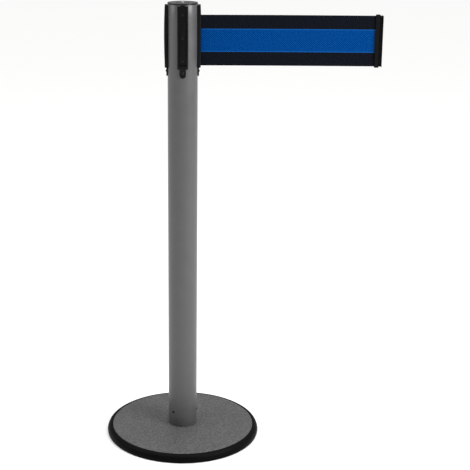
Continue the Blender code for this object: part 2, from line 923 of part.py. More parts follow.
def build_brake():
    drum_inner = FLANGE_RADIUS - 0.0013
    turned(
        "brake_drum",
        [
            (drum_inner, LID_BOTTOM - GAP),
            (FLANGE_RADIUS + 0.0002, LID_BOTTOM - GAP),
            (FLANGE_RADIUS + 0.0002, SHOE_BOTTOM),
            (drum_inner, SHOE_BOTTOM),
        ],
        MATERIALS["zinc"],
        INNER,
    )
    plate_top = SHOE_BOTTOM - GAP
    hub = turned(
        "brake_hub",
        [
            (AXLE_RADIUS + GAP, SHOE_TOP),
            (0.0070, SHOE_TOP),
            (0.0070, plate_top),
            (0.0190, plate_top),
            (0.0190, HUB_BOTTOM),
            (AXLE_RADIUS + GAP, HUB_BOTTOM),
        ],
        MATERIALS["dark_nylon"],
        SMALL,
    )
    middle = (SHOE_INNER + SHOE_OUTER) / 2
    half = (SHOE_OUTER - SHOE_INNER) / 2
    sweep = radians(84)
    outline = (
        arc((0.0, 0.0), SHOE_OUTER, 0.0, sweep, 10)
        + arc((middle * cos(sweep), middle * sin(sweep)), half, sweep, sweep + pi, 6)[1:-1]
        + arc((0.0, 0.0), SHOE_INNER, sweep, 0.0, 10)
        + arc((middle, 0.0), half, pi, tau, 6)[1:-1]
    )
    for number, angle in enumerate(PIVOT_ANGLES, 1):
        place_at = (middle * cos(angle), middle * sin(angle), HUB_BOTTOM + 0.0005)
        pin = cylinder(f"hub_pin_{number}", 0.0010, SHOE_TOP - HUB_BOTTOM - 0.0005, None)
        pin.location = place_at
        join(hub, pin)
        mesh = outline_mesh(f"brake_shoe_{number}", outline, SHOE_TOP - SHOE_BOTTOM)
        mesh.transform(Matrix.Translation((-middle, 0.0, SHOE_BOTTOM)))
        shoe = place(f"brake_shoe_{number}", mesh, MATERIALS["friction"])
        shoe.location = (middle * cos(angle), middle * sin(angle), 0.0)
        shoe.rotation_euler = (0.0, 0.0, angle)
        hole = cylinder(f"shoe_hole_{number}", 0.0013, 0.0200, None)
        hole.location = (place_at[0], place_at[1], SHOE_BOTTOM - 0.005)
        cut(shoe, hole)


# ---------------------------------------------------------------- belt
def strip_outline(path, thickness):
    """The outline of a strip of even thickness along a path of (x, y) points."""
    left, right = [], []
    for i, point in enumerate(path):
        before = Vector(path[max(i - 1, 0)])
        after = Vector(path[min(i + 1, len(path) - 1)])
        along = (after - before).normalized()
        side = Vector((-along.y, along.x)) * thickness / 2
        left.append(tuple(Vector(point) + side))
        right.append(tuple(Vector(point) - side))
    return left + right[::-1]


def drop_at(x):
    """How far the belt hangs below the outlet's line at x."""
    share = max(0.0, (x - BELT_START) / (BELT_END - BELT_START))
    return BELT_DROP * share**1.5


def build_belt():
    lead_radius = ROLL_RADIUS + GAP + BELT_THICKNESS / 2
    throat = POST_BORE + 0.0008
    meet = throat - 0.0020
    angle = acos(lead_radius / meet)
    start = Vector((lead_radius * cos(angle), lead_radius * sin(angle)))
    path = [tuple(start), tuple(start.lerp(Vector((meet, 0.0)), 0.80))]
    path += [(meet + 0.0002, 0.0007), (throat - 0.0006, 0.0001), (throat + 0.001, 0.0)]
    path += [(BELT_START - GAP, 0.0)]
    extruded(
        "belt_lead",
        strip_outline(path, BELT_THICKNESS),
        BELT_BOTTOM,
        BELT_TOP,
        MATERIALS["webbing"],
    )
    steps = 16
    stations = [BELT_START + (BELT_END + 0.0024 - BELT_START) * i / steps for i in range(steps + 1)]
    upper = [(x, BELT_TOP - drop_at(x)) for x in stations]
    lower = [(x, BELT_BOTTOM - drop_at(x)) for x in reversed(stations)]
    upright("belt_run", upper + lower, BELT_THICKNESS, MATERIALS["webbing"])


def build_belt_end():
    """The moulded belt end: a body that grips the belt, a neck and a T head that fits a receiver."""
    body_far = BELT_END + 0.0084
    head_far = BELT_END + CLIP_LENGTH
    head_near = head_far - 0.0016
    half = 0.0044
    slot = BELT_THICKNESS / 2 + 0.0004
    bore = 0.0018
    pin_x = BELT_END + 0.0046
    mouth = acos(-sqrt(1 - (slot / bore) ** 2))
    keyhole = [(BELT_END, slot)] + arc((pin_x, 0.0), bore, mouth, 0.0, 8)[:-1] + [(pin_x + bore, 0.0)]
    section = (
        keyhole[::-1]
        + [(BELT_END, half - 0.0016), (BELT_END + 0.0016, half), (body_far - 0.0010, half)]
        + [(body_far, half - 0.0010), (body_far, 0.0)]
    )
    low = CLIP_MIDDLE - CLIP_HEIGHT / 2
    high = CLIP_MIDDLE + CLIP_HEIGHT / 2
    lower_side = [(x, -y) for x, y in section[1:-1]][::-1]
    body = extruded("clip_body", section + lower_side, low, high, MATERIALS["black_nylon"])
    head_half = CHANNEL_HALF - 0.0004
    neck = 0.0024
    head = both_sides(
        [(body_far - 0.0005, neck), (head_near, neck), (head_near, head_half)]
        + [(head_far - 0.0004, head_half), (head_far, head_half - 0.0004)]
    )
    flange = extruded("clip_head", head, low + 0.0020, high - 0.0020, None)
    join(body, flange)
    pin = cylinder("clip_pin", bore - GAP, CLIP_HEIGHT - 0.0020, MATERIALS["bright_steel"], 16)
    pin.location = (pin_x, 0.0, low + 0.0010)


# ---------------------------------------------------------------- build
clear_scene()
PARTS = new_collection("belt_stanchion")
CUTTERS = new_collection("cutters")
MATERIALS = {
    "rubber": new_material("rubber", (0.018, 0.018, 0.019), 0.70),
    "cast_iron": new_material("cast_iron", (0.09, 0.09, 0.095), 0.60, 0.8),
    "hammered_grey": new_material("hammered_grey", (0.12, 0.125, 0.135), 0.50, 0.3),
    "grey_powder": new_material("grey_powder", (0.13, 0.135, 0.145), 0.42, 0.3),
    "grey_gloss": new_material("grey_gloss", (0.12, 0.125, 0.135), 0.25, 0.4),
    "black_nylon": new_material("black_nylon", (0.012, 0.012, 0.013), 0.42),
    "dark_nylon": new_material("dark_nylon", (0.03, 0.03, 0.032), 0.50),
    "black_steel": new_material("black_steel", (0.02, 0.02, 0.022), 0.35, 0.6),
    "bright_steel": new_material("bright_steel", (0.60, 0.60, 0.62), 0.22, 1.0),
    "spring_steel": new_material("spring_steel", (0.25, 0.27, 0.30), 0.30, 1.0),
    "zinc": new_material("zinc", (0.50, 0.51, 0.53), 0.35, 1.0),
    "bronze": new_material("bronze", (0.45, 0.28, 0.12), 0.40, 1.0),
    "friction": new_material("friction", (0.10, 0.07, 0.05), 0.80),
    "webbing": new_material("webbing", (0.010, 0.012, 0.020), 0.85),
}

build_base()
build_foot()
build_post()
build_cap()
build_receivers()
build_tongue_screws()
build_outlet()
build_cassette_frame()
build_spool()
build_spring()
build_brake()
build_belt()
build_belt_end()
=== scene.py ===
"""Looks of the retractable belt stanchion: finishes, surfaces, webbing, floor, light, camera."""

import json
import logging
import math
from dataclasses import dataclass, field
from enum import Enum
from typing import Any, Callable, Iterable, Mapping, Optional, Sequence

import bmesh
import bpy
import numpy as np
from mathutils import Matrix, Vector

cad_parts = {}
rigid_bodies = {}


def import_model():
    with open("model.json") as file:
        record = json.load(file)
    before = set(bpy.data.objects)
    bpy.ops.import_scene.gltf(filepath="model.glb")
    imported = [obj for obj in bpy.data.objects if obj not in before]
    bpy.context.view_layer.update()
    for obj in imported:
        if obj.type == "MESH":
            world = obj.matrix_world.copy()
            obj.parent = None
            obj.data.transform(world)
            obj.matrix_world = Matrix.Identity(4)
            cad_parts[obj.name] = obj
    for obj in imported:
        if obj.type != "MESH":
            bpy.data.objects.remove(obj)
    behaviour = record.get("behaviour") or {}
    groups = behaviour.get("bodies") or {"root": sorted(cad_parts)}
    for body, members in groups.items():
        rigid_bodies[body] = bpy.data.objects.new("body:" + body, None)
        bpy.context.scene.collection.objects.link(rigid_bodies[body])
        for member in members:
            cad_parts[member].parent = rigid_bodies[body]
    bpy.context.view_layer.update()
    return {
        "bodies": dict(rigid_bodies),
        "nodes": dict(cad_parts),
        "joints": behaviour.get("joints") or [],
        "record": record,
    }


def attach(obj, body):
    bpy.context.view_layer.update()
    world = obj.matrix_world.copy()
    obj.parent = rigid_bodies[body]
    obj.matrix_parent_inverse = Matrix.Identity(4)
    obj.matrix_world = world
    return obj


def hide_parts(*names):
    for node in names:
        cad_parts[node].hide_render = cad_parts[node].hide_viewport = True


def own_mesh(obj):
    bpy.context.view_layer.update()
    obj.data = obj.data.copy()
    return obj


Array = np.ndarray
Colour = tuple[float, float, float, float]
Corner = tuple[float, float, float]

MM = 0.001
TAU = 2.0 * math.pi
WEAVE_MAP = "weave"
DUST = "8C8A86"
SPECKS_PER_METRE = 220.0
FUZZ_PER_METRE = 900.0

logging.basicConfig(level=logging.INFO, format="%(levelname)s %(message)s")
LOG = logging.getLogger("belt_stanchion")


# ---------------------------------------------------------------- colour and node helpers
def linear(hex_colour: str) -> Colour:
    """Turn an sRGB hex colour into a linear RGBA one.

    Args:
        hex_colour: six hex digits, with or without a leading #.

    Returns:
        The colour as four linear numbers, with an alpha of 1.
    """
    digits = hex_colour.lstrip("#")
    srgb = np.array([int(digits[i : i + 2], 16) / 255.0 for i in (0, 2, 4)])
    low = srgb / 12.92
    high = ((srgb + 0.055) / 1.055) ** 2.4
    red, green, blue = (float(v) for v in np.where(srgb <= 0.04045, low, high))
    return (red, green, blue, 1.0)


def add_node(
    tree: bpy.types.NodeTree,
    kind: str,
    settings: Optional[dict[str, Any]] = None,
    inputs: Optional[dict[Any, Any]] = None,
) -> bpy.types.Node:
    """Add one node to a tree, with its settings, its socket values and its links.

    Args:
        tree: the node tree.
        kind: the node's type name.
        settings: properties of the node itself.
        inputs: socket name or index to a value, or to an output socket that is linked to it.

    Returns:
        The node.
    """
    node = tree.nodes.new(kind)
    for key, value in (settings or {}).items():
        setattr(node, key, value)
    for key, value in (inputs or {}).items():
        if isinstance(value, bpy.types.NodeSocket):
            tree.links.new(value, node.inputs[key])
        else:
            node.inputs[key].default_value = value
    return node


def add_ramp(
    tree: bpy.types.NodeTree, source: bpy.types.NodeSocket, stops: Sequence[tuple[float, Any]]
) -> bpy.types.NodeSocket:
    """Map a value through a colour ramp.

    Args:
        tree: the node tree.
        source: the value that drives the ramp.
        stops: (position, RGBA colour or grey level) pairs in rising order.

    Returns:
        The ramp's colour output.
    """
    ramp = add_node(tree, "ShaderNodeValToRGB", inputs={"Fac": source})
    elements = ramp.color_ramp.elements
    while len(elements) < len(stops):
        elements.new(0.5)
    for element, (position, colour) in zip(elements, stops):
        element.position = position
        element.color = colour if isinstance(colour, tuple) else (colour, colour, colour, 1.0)
    return ramp.outputs["Color"]


# ---------------------------------------------------------------- finishes
class Grain(Enum):
    """How the fine relief of a surface is made."""

    SMOOTH = "smooth"
    ORANGE_PEEL = "orange peel"
    HAMMERED = "hammered"
    MOULD_SPARK = "spark-eroded mould"
    SAND_CAST = "sand cast"
    TURNED = "turned"


@dataclass(frozen=True)
class Finish:
    """A finish, as its maker would specify it.

    Colours are sRGB hex. grain_mm is the spacing of the relief, relief_mm its height.
    """

    name: str
    colour: str
    shade: str
    roughness: float
    rough_spread: float = 0.04
    metallic: float = 0.0
    ior: float = 1.5
    specular: float = 0.5
    coat: float = 0.0
    coat_roughness: float = 0.1
    grain: Grain = Grain.SMOOTH
    grain_mm: float = 1.0
    relief_mm: float = 0.0
    mottle_mm: float = 30.0
    dust: float = 0.0

    def relief(self, tree: bpy.types.NodeTree, place: bpy.types.NodeSocket) -> bpy.types.NodeSocket:
        """Build the height field of the grain.

        Args:
            tree: the node tree.
            place: object coordinates, in metres.

        Returns:
            A height from 0 to 1.
        """
        scale = 1.0 / (self.grain_mm * MM)
        if self.grain is Grain.HAMMERED:
            cells = add_node(
                tree,
                "ShaderNodeTexVoronoi",
                {"feature": "SMOOTH_F1"},
                {"Vector": place, "Scale": scale, "Smoothness": 0.3},
            ).outputs["Distance"]
            specks = add_node(
                tree,
                "ShaderNodeTexNoise",
                inputs={"Vector": place, "Scale": 0.7 * scale, "Detail": 3.0, "Roughness": 0.7},
            ).outputs["Fac"]
            return add_node(
                tree, "ShaderNodeMath", {"operation": "MULTIPLY"}, {0: cells, 1: specks}
            ).outputs["Value"]
        if self.grain is Grain.TURNED:
            stretch = add_node(
                tree, "ShaderNodeMapping", inputs={"Vector": place, "Scale": (0.05, 0.05, 1.0)}
            )
            place = stretch.outputs["Vector"]
        detail = {Grain.SAND_CAST: 6.0, Grain.MOULD_SPARK: 3.0}.get(self.grain, 1.5)
        noise = add_node(
            tree, "ShaderNodeTexNoise", inputs={"Vector": place, "Scale": scale, "Detail": detail}
        )
        return noise.outputs["Fac"]

    def build(self) -> bpy.types.Material:
        """Make the material.

        Returns:
            A node material on object coordinates.
        """
        material = bpy.data.materials.new(self.name)
        material.use_nodes = True
        tree = material.node_tree
        shader = tree.nodes["Principled BSDF"]
        place = add_node(tree, "ShaderNodeTexCoord").outputs["Object"]
        mottle = add_node(
            tree,
            "ShaderNodeTexNoise",
            inputs={"Vector": place, "Scale": 1.0 / (self.mottle_mm * MM), "Detail": 4.0},
        ).outputs["Fac"]
        stops = [(0.35, linear(self.shade)), (0.65, linear(self.colour))]
        colour = add_ramp(tree, mottle, stops)
        if self.grain is not Grain.SMOOTH:
            height = self.relief(tree, place)
            if self.grain is Grain.HAMMERED:
                flake = add_ramp(tree, height, [(0.08, 0.50), (0.34, 1.05)])
                colour = add_node(
                    tree,
                    "ShaderNodeMix",
                    {"data_type": "RGBA", "blend_type": "MULTIPLY"},
                    {"Factor": 1.0, "A": colour, "B": flake},
                ).outputs["Result"]
            bump = add_node(
                tree,
                "ShaderNodeBump",
                inputs={"Strength": 1.0, "Distance": self.relief_mm * MM, "Height": height},
            )
            tree.links.new(bump.outputs["Normal"], shader.inputs["Normal"])
        if self.dust > 0.0:
            colour = self.dusted(tree, place, colour)
        tree.links.new(colour, shader.inputs["Base Color"])
        rough = add_node(
            tree,
            "ShaderNodeMapRange",
            inputs={
                "Value": mottle,
                "From Min": 0.3,
                "From Max": 0.7,
                "To Min": self.roughness - self.rough_spread,
                "To Max": self.roughness + self.rough_spread,
            },
        )
        tree.links.new(rough.outputs["Result"], shader.inputs["Roughness"])
        shader.inputs["Metallic"].default_value = self.metallic
        if self.metallic < 0.5:
            shader.inputs["IOR"].default_value = self.ior
            shader.inputs["Specular IOR Level"].default_value = self.specular
        shader.inputs["Coat Weight"].default_value = self.coat
        shader.inputs["Coat Roughness"].default_value = self.coat_roughness
        return material

    def dusted(
        self,
        tree: bpy.types.NodeTree,
        place: bpy.types.NodeSocket,
        colour: bpy.types.NodeSocket,
    ) -> bpy.types.NodeSocket:
        """Lay a thin pale dust on faces that look up.

        Args:
            tree: the node tree.
            place: object coordinates, in metres.
            colour: the clean colour.

        Returns:
            The dusted colour.
        """
        normal = add_node(tree, "ShaderNodeNewGeometry").outputs["Normal"]
        up = add_node(tree, "ShaderNodeSeparateXYZ", inputs={"Vector": normal}).outputs["Z"]
        specks = add_node(
            tree,
            "ShaderNodeTexNoise",
            inputs={"Vector": place, "Scale": SPECKS_PER_METRE, "Detail": 5.0},
        ).outputs["Fac"]
        amount = add_node(
            tree, "ShaderNodeMath", {"operation": "MULTIPLY", "use_clamp": True}, {0: up, 1: specks}
        ).outputs["Value"]
        share = add_node(
            tree, "ShaderNodeMath", {"operation": "MULTIPLY"}, {0: amount, 1: self.dust}
        ).outputs["Value"]
        return add_node(
            tree,
            "ShaderNodeMix",
            {"data_type": "RGBA"},
            {"Factor": share, "A": colour, "B": linear(DUST)},
        ).outputs["Result"]


@dataclass(frozen=True)
class WovenWebbing:
    """Polyester webbing in a ribbed weave: black with a blue stripe, woven with dyed yarn.

    The ribs and yarns are drawn several times coarser than real ones, so that the weave shows.
    Their light and shade is painted into the colour: paler on the ridges, darker in the hollows. A
    paler yarn runs inside both edges of the stripe.
    """

    name: str = "woven_polyester_webbing"
    # painted light: black and blue are the painted shade in the weave's hollows, the paler black
    # and blue the painted highlight on its ridges
    black: str = "06080B"
    black_ridge_highlight: str = "171A24"
    blue: str = "002A5C"
    blue_ridge_highlight: str = "004A96"
    stripe_share: float = 0.455
    rib_mm: float = 4.2
    yarn_mm: float = 4.6
    width_mm: float = 100.0
    binder_mm: float = 1.6
    binder: str = "1B5FA8"
    binder_share: float = 0.45

    def build(self) -> bpy.types.Material:
        """Make the material. It reads a UV map whose U and V are metres along and across the belt.

        Returns:
            The webbing material.
        """
        material = bpy.data.materials.new(self.name)
        material.use_nodes = True
        tree = material.node_tree
        shader = tree.nodes["Principled BSDF"]
        uv = add_node(tree, "ShaderNodeUVMap", {"uv_map": WEAVE_MAP}).outputs["UV"]
        split = add_node(tree, "ShaderNodeSeparateXYZ", inputs={"Vector": uv})
        along, across = split.outputs["X"], split.outputs["Y"]
        height = self.weave(tree, along, across)
        fuzz = add_node(
            tree,
            "ShaderNodeTexNoise",
            inputs={"Vector": uv, "Scale": FUZZ_PER_METRE, "Detail": 4.0},
        ).outputs["Fac"]
        streak = add_node(
            tree, "ShaderNodeMapping", inputs={"Vector": uv, "Scale": (260.0, 420.0, 1.0)}
        ).outputs["Vector"]
        bands = add_node(
            tree, "ShaderNodeTexNoise", inputs={"Vector": streak, "Scale": 1.0, "Detail": 2.0}
        ).outputs["Fac"]
        fuzz_streaks = add_node(
            tree, "ShaderNodeMath", {"operation": "MULTIPLY"}, {0: fuzz, 1: bands}
        ).outputs["Value"]
        # painted light and shade: the colour follows the weave's height, paler on the ridges and
        # darker in the hollows, broken up by fuzz and streaks
        painted_weave_light = add_node(
            tree, "ShaderNodeMath", {"operation": "MULTIPLY"}, {0: height, 1: fuzz_streaks}
        ).outputs["Value"]
        black = add_ramp(
            tree, painted_weave_light, [(0.04, linear(self.black)), (0.28, linear(self.black_ridge_highlight))]
        )
        blue = add_ramp(tree, painted_weave_light, [(0.04, linear(self.blue)), (0.28, linear(self.blue_ridge_highlight))])
        half = self.stripe_share * self.width_mm * MM / 2
        binder_half = self.binder_mm * MM / 2
        centred = add_node(tree, "ShaderNodeMath", {"operation": "ABSOLUTE"}, {0: across})
        inside = add_node(
            tree,
            "ShaderNodeMapRange",
            {"clamp": True},
            {
                "Value": centred.outputs["Value"],
                "From Min": half - 0.3 * MM,
                "From Max": half + 0.3 * MM,
                "To Min": 1.0,
                "To Max": 0.0,
            },
        )
        colour = add_node(
            tree,
            "ShaderNodeMix",
            {"data_type": "RGBA"},
            {"Factor": inside.outputs["Result"], "A": black, "B": blue},
        ).outputs["Result"]
        beside = add_node(
            tree,
            "ShaderNodeMath",
            {"operation": "COMPARE"},
            {0: centred.outputs["Value"], 1: half - binder_half, 2: binder_half},
        ).outputs["Value"]
        pale = add_node(
            tree, "ShaderNodeMath", {"operation": "MULTIPLY"}, {0: beside, 1: self.binder_share}
        ).outputs["Value"]
        colour = add_node(
            tree,
            "ShaderNodeMix",
            {"data_type": "RGBA"},
            {"Factor": pale, "A": colour, "B": linear(self.binder)},
        ).outputs["Result"]
        tree.links.new(colour, shader.inputs["Base Color"])
        bump = add_node(
            tree, "ShaderNodeBump", inputs={"Strength": 1.0, "Distance": 0.5 * MM, "Height": height}
        )
        tree.links.new(bump.outputs["Normal"], shader.inputs["Normal"])
        shader.inputs["Roughness"].default_value = 0.78
        shader.inputs["IOR"].default_value = 1.53
        shader.inputs["Specular IOR Level"].default_value = 0.02
        return material

    def weave(
        self,
        tree: bpy.types.NodeTree,
        along: bpy.types.NodeSocket,
        across: bpy.types.NodeSocket,
    ) -> bpy.types.NodeSocket:
        """Height of a ribbed weave: sin(along) times sin(across), with every other rib shifted.

        Args:
            tree: the node tree.
            along: metres along the belt.
            across: metres across the belt.

        Returns:
            A height from 0 to 1.
        """
        waves = []
        for source, pitch in ((along, self.yarn_mm), (across, self.rib_mm)):
            angle = add_node(
                tree,
                "ShaderNodeMath",
                {"operation": "MULTIPLY"},
                {0: source, 1: TAU / (pitch * MM)},
            ).outputs["Value"]
            wave = add_node(tree, "ShaderNodeMath", {"operation": "SINE"}, {0: angle})
            waves.append(wave.outputs["Value"])
        product = add_node(
            tree, "ShaderNodeMath", {"operation": "MULTIPLY"}, {0: waves[0], 1: waves[1]}
        ).outputs["Value"]
        return add_node(
            tree,
            "ShaderNodeMapRange",
            inputs={"Value": product, "From Min": -1.0, "From Max": 1.0},
        ).outputs["Result"]


POWDER_COAT = Finish(  # electrostatic powder coat on steel tube: satin, with a faint orange peel
    "satin_powder_coat", "4B4B4C", "484849", 0.38, specular=0.45, coat=0.1, coat_roughness=0.25,
    grain=Grain.ORANGE_PEEL, grain_mm=2.2, relief_mm=0.02,
)
HAMMERED_COAT = Finish(  # hammertone enamel sprayed on pressed sheet: small cells with a glint
    "hammertone_enamel", "565657", "525253", 0.50, metallic=0.1, specular=0.3,
    grain=Grain.HAMMERED, grain_mm=4.2, relief_mm=0.30, dust=0.06,
)
GLOSS_ENAMEL = Finish(  # stoved enamel on a turned cap: smooth and glossy
    "stoved_gloss_enamel", "0A0A0B", "080809", 0.22, specular=0.3, coat=0.0, coat_roughness=0.08,
    grain=Grain.ORANGE_PEEL, grain_mm=3.0, relief_mm=0.01,
)
MOULDED_NYLON = Finish(  # glass-filled nylon, injection moulded in a spark-eroded tool: matt black
    "moulded_black_nylon", "060607", "050506", 0.34, ior=1.53, specular=0.12,
    grain=Grain.MOULD_SPARK, grain_mm=0.5, relief_mm=0.02, dust=0.01,
)
DARK_NYLON = Finish(  # the cassette's unfilled nylon: a little paler and smoother
    "cassette_nylon", "303134", "2A2B2E", 0.5, ior=1.53,
    grain=Grain.MOULD_SPARK, grain_mm=0.8, relief_mm=0.01,
)
MOULDED_RUBBER = Finish(  # EPDM bumper, compression moulded: dull black with handling dust
    "moulded_rubber", "030304", "020202", 0.52, rough_spread=0.06, ior=1.52, specular=0.04,
    grain=Grain.MOULD_SPARK, grain_mm=0.9, relief_mm=0.03, dust=0.02,
)
CAST_IRON = Finish(  # grey iron from a sand mould: coarse and dark
    "sand_cast_iron", "5A5A5C", "454547", 0.66, metallic=0.8,
    grain=Grain.SAND_CAST, grain_mm=1.4, relief_mm=0.15,
)
BLACK_OXIDE = Finish(  # blackened screw steel: oily black with soft glints
    "black_oxide_steel", "0D0D0E", "09090A", 0.42, metallic=0.2, specular=0.3,
    grain=Grain.TURNED, grain_mm=0.4, relief_mm=0.01,
)
GROUND_STEEL = Finish(  # ground and polished bar: bright, with fine turning marks
    "ground_steel", "BDBEC0", "B0B1B4", 0.30, metallic=1.0,
    grain=Grain.TURNED, grain_mm=0.4, relief_mm=0.008,
)
ZINC_PLATE = Finish(  # bright zinc plate over turned or stamped steel: soft bluish metal
    "zinc_plated_steel", "AEB2B8", "9DA1A7", 0.34, metallic=1.0,
    grain=Grain.TURNED, grain_mm=0.6, relief_mm=0.01,
)
SPRING_STEEL = Finish(  # tempered strip: blued, fairly smooth
    "blued_spring_steel", "4A5260", "3B414D", 0.30, metallic=1.0,
    grain=Grain.TURNED, grain_mm=0.5, relief_mm=0.008,
)
BRONZE = Finish(  # sintered oil-filled bronze: brown metal, open grain
    "sintered_bronze", "A87C4A", "946A3C", 0.45, metallic=1.0,
    grain=Grain.SAND_CAST, grain_mm=0.3, relief_mm=0.02,
)
BRAKE_LINING = Finish(  # pressed friction compound: brown, dry and speckled
    "brake_lining", "5B4636", "4A382A", 0.85,
    grain=Grain.SAND_CAST, grain_mm=0.6, relief_mm=0.05,
)

SLOT_FINISHES = {
    "rubber": MOULDED_RUBBER,
    "cast_iron": CAST_IRON,
    "hammered_grey": HAMMERED_COAT,
    "grey_powder": POWDER_COAT,
    "grey_gloss": GLOSS_ENAMEL,
    "black_nylon": MOULDED_NYLON,
    "dark_nylon": DARK_NYLON,
    "black_steel": BLACK_OXIDE,
    "bright_steel": GROUND_STEEL,
    "spring_steel": SPRING_STEEL,
    "zinc": ZINC_PLATE,
    "bronze": BRONZE,
    "friction": BRAKE_LINING,
}


class Paintshop:
    """Builds each finish once and hands it out by material slot."""

    def __init__(self) -> None:
        """Start with no material made."""
        self.made: dict[str, bpy.types.Material] = {}

    def get(self, slot: str) -> bpy.types.Material:
        """The material of a slot, built on first use.

        Args:
            slot: the material slot's name.

        Returns:
            Its material.
        """
        if slot not in self.made:
            finish = WovenWebbing() if slot == "webbing" else SLOT_FINISHES[slot]
            self.made[slot] = finish.build()
        return self.made[slot]


# ---------------------------------------------------------------- surfaces
def filleted(points: Sequence[Corner], steps: int = 6) -> Array:
    """Round the corners of an open or closed outline.

    Each corner P with tangent length t becomes the quadratic Bezier from P + t*before, over P, to
    P + t*after, at steps even parameters. A corner with t = 0 gives repeated points, which
    are dropped.

    Args:
        points: (first, second, t) for each corner, in metres. The ends keep t = 0.
        steps: points on each corner.

    Returns:
        An array of shape (n, 2).
    """
    table = np.array(points, float)
    corner, reach = table[:, :2], table[:, 2:]
    before = np.roll(corner, 1, axis=0) - corner
    after = np.roll(corner, -1, axis=0) - corner
    before /= np.maximum(np.linalg.norm(before, axis=1, keepdims=True), 1e-12)
    after /= np.maximum(np.linalg.norm(after, axis=1, keepdims=True), 1e-12)
    share = np.linspace(0.0, 1.0, steps)[None, :, None]
    start = (corner + reach * before)[:, None, :]
    end = (corner + reach * after)[:, None, :]
    middle = corner[:, None, :]
    curve = (1 - share) ** 2 * start + 2 * share * (1 - share) * middle + share**2 * end
    flat = curve.reshape(-1, 2)
    keep = np.linalg.norm(np.diff(flat, axis=0, prepend=flat[:1] + 1.0), axis=1) > 1e-7
    return flat[keep]


def in_metres(corners: Sequence[Corner]) -> list[Corner]:
    """The corners of a section, from millimetres to metres."""
    return [(r * MM, z * MM, t * MM) for r, z, t in corners]


def grid_faces(rows: int, columns: int, wrap_rows: bool, wrap_columns: bool) -> Array:
    """Quads of a grid of points, joined round where it wraps.

    Args:
        rows: points in the first direction.
        columns: points in the second direction.
        wrap_rows: whether the last row joins the first.
        wrap_columns: whether the last column joins the first.

    Returns:
        An array of shape (n, 4) of point indices.
    """
    i = np.arange(rows if wrap_rows else rows - 1)[:, None]
    j = np.arange(columns if wrap_columns else columns - 1)[None, :]
    below, beside = (i + 1) % rows, (j + 1) % columns
    quads = [i * columns + j, i * columns + beside, below * columns + beside, below * columns + j]
    shape = (i.shape[0], j.shape[1])
    return np.stack([np.broadcast_to(q, shape) for q in quads], -1).reshape(-1, 4)


def make_piece(
    name: str,
    points: Array,
    faces: Iterable[Sequence[int]],
    material: bpy.types.Material,
    sharp_degrees: float = 40.0,
    weave: Optional[Array] = None,
) -> bpy.types.Object:
    """Put a surface into an object at the origin, merged, facing out and shaded smooth.

    Args:
        name: the piece's name.
        points: vertices, shape (n, 3), in metres.
        faces: indices of each face's corners.
        material: its finish.
        sharp_degrees: edges that bend more than this stay sharp.
        weave: optional (along, across) of each vertex, in metres, kept as a UV map.

    Returns:
        The new object.
    """
    mesh = bpy.data.meshes.new(name)
    mesh.from_pydata(points.tolist(), [], [list(map(int, face)) for face in faces])
    if weave is not None:
        layer = mesh.uv_layers.new(name=WEAVE_MAP)
        corners = np.empty(len(mesh.loops), np.int32)
        mesh.loops.foreach_get("vertex_index", corners)
        layer.data.foreach_set("uv", weave[corners].astype(np.float32).ravel())
    shape = bmesh.new()
    shape.from_mesh(mesh)
    bmesh.ops.remove_doubles(shape, verts=shape.verts, dist=1e-7)
    bmesh.ops.recalc_face_normals(shape, faces=shape.faces)
    shape.to_mesh(mesh)
    shape.free()
    mesh.materials.append(material)
    mesh.shade_smooth()
    mesh.set_sharp_from_angle(angle=math.radians(sharp_degrees))
    obj = bpy.data.objects.new(name, mesh)
    bpy.context.scene.collection.objects.link(obj)
    LOG.info("%s: %d faces", name, len(mesh.polygons))
    return obj


def turn_profile(profile: Array, segments: int) -> tuple[Array, Array]:
    """Turn a closed (radius, height) profile about Z.

    The surface is (r(t) cos a, r(t) sin a, z(t)) for t along the profile and a round the axis.

    Args:
        profile: shape (n, 2), in metres.
        segments: steps round the axis.

    Returns:
        Points of shape (n * segments, 3) and quads.
    """
    angle = np.arange(segments) * TAU / segments
    radius, height = profile[:, :1], profile[:, 1:]
    x = radius * np.cos(angle)
    y = radius * np.sin(angle)
    z = np.broadcast_to(height, x.shape)
    points = np.stack([x, y, z], -1).reshape(-1, 3)
    return points, grid_faces(len(profile), segments, True, True)


def lobed(points: Array, lobes: int, share: float, inside: float) -> Array:
    """Turn a round recess about Z into a lobed one.

    A point at radius r < inside and angle a moves to r (1 - share (1 - cos(lobes a)) / 2).

    Args:
        points: shape (n, 3), in metres.
        lobes: number of lobes.
        share: how deep the valleys go between the lobes, as a share of the radius.
        inside: only points nearer the axis than this move.

    Returns:
        The moved points.
    """
    radius = np.hypot(points[:, 0], points[:, 1])
    angle = np.arctan2(points[:, 1], points[:, 0])
    pull = np.where(radius < inside, 1.0 - share * (1.0 - np.cos(lobes * angle)) / 2.0, 1.0)
    moved = points.copy()
    moved[:, :2] *= pull[:, None]
    return moved


def laid_out(points: Array, azimuth: float, height: float) -> Array:
    """Lay a piece made about +Z along a radius of the post.

    Args:
        points: shape (n, 3); z becomes the distance from the post's axis.
        azimuth: the radius's direction, in radians.
        height: its height, in metres.

    Returns:
        The turned points.
    """
    out = np.array([math.cos(azimuth), math.sin(azimuth), 0.0])
    side = np.array([-math.sin(azimuth), math.cos(azimuth), 0.0])
    up = np.array([0.0, 0.0, 1.0])
    frame = np.stack([side, up, out])
    return points @ frame + np.array([0.0, 0.0, height])


